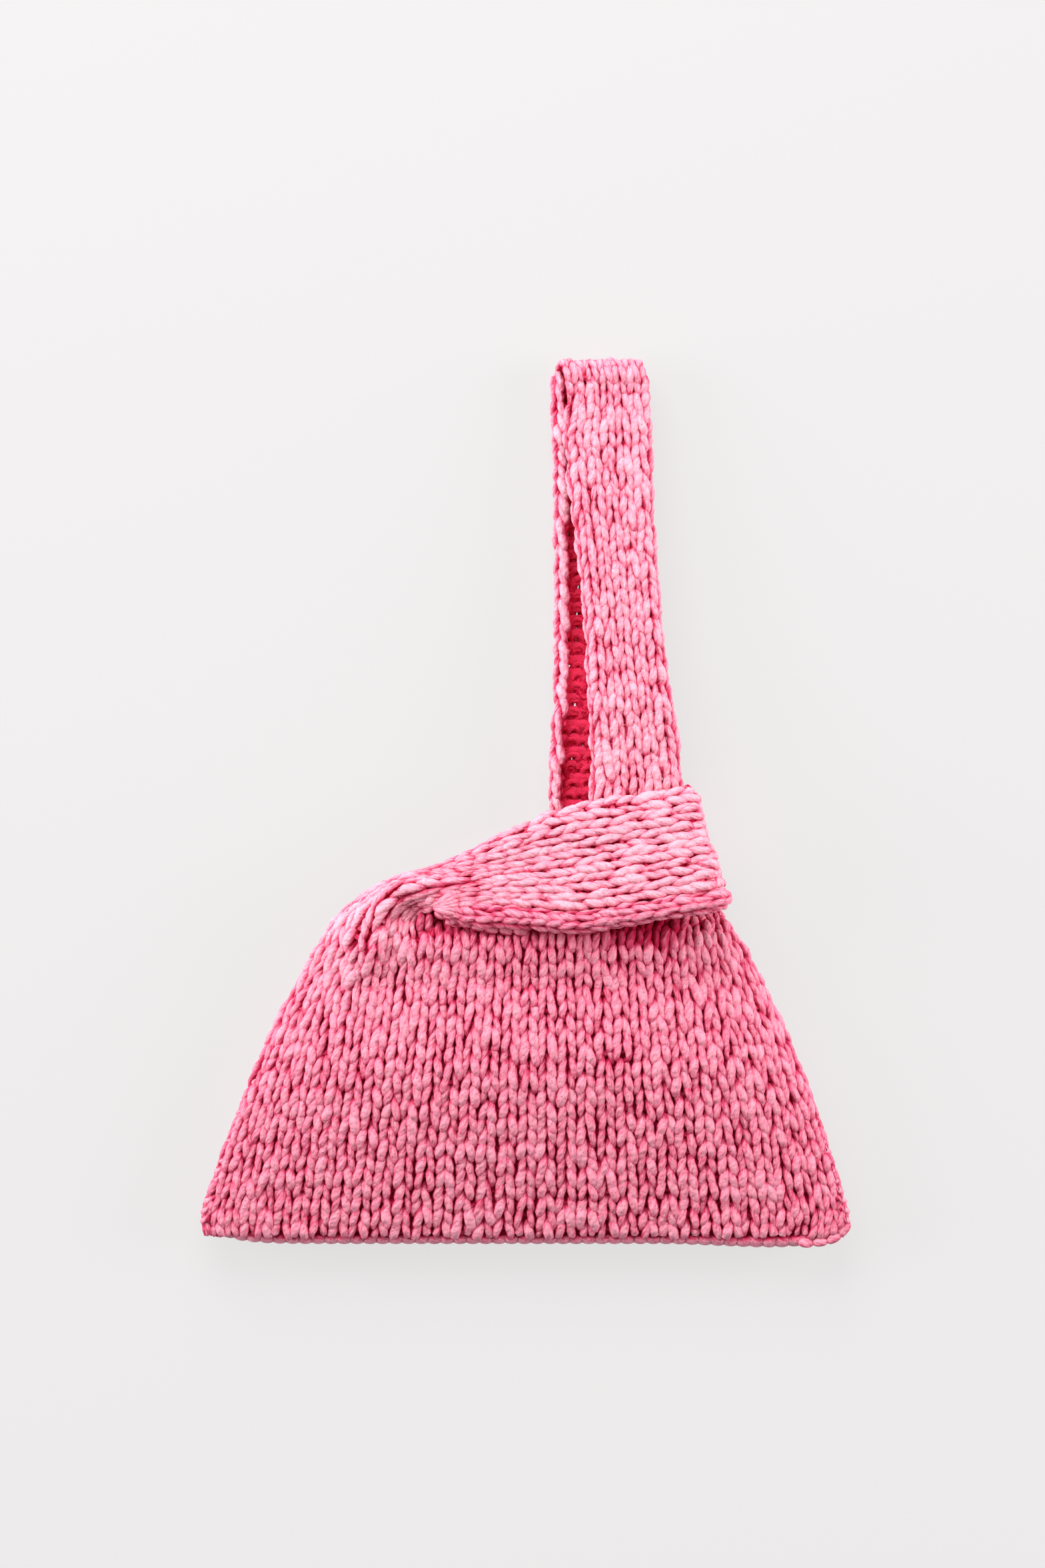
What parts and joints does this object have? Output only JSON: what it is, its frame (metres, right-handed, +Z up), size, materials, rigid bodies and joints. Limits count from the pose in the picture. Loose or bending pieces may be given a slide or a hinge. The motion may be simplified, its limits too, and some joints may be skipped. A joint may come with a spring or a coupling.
{
  "type": "japanese knot bag",
  "caption": "Hand-knitted knot bag lying on its back: a stuffed trapezium pouch whose long strap handle is pulled through a short loop handle that slides up to open the mouth.",
  "frame": {"origin": "on the surface that the bag lies on, under the middle of its box", "axes": "+X along the bottom seam, to the side of the long handle; +Y from the bottom seam to the handle's top fold; +Z up off the surface, out of the bag's front"},
  "size_m": [0.3014, 0.407, 0.0575],
  "materials": {
    "knit_yarn": "matte chunky pink melange cotton yarn in stocking stitch",
    "seam_yarn": "matte pink cotton yarn, the same as the knit"
  },
  "bodies": {
    "pouch": {"front_panel": "knit_yarn", "back_panel": "knit_yarn", "left_side_seam": "seam_yarn", "right_side_seam": "seam_yarn", "bottom_seam": "seam_yarn", "left_shoulder_front": "knit_yarn", "left_shoulder_back": "knit_yarn", "right_shoulder_front": "knit_yarn", "right_shoulder_back": "knit_yarn", "mouth_gather": "seam_yarn"},
    "long_handle": {"long_handle_front": "knit_yarn", "long_handle_back": "knit_yarn", "long_handle_graft": "seam_yarn"},
    "short_handle": {"short_handle_front": "knit_yarn", "short_handle_back": "knit_yarn", "short_handle_graft": "seam_yarn", "short_handle_edge": "seam_yarn"}
  },
  "joints": [
    {"name": "handle_swing", "type": "hinge", "parent": "pouch", "child": "long_handle", "pos_m": [0, 0.0417, 0.0394], "axis": [1, 0, 0], "range_deg": [0, 115]},
    {"name": "loop_slide", "type": "slide", "parent": "pouch", "child": "short_handle", "axis": [-0.0995, 0.995, 0], "range_m": [0, 0.025]}
  ]
}
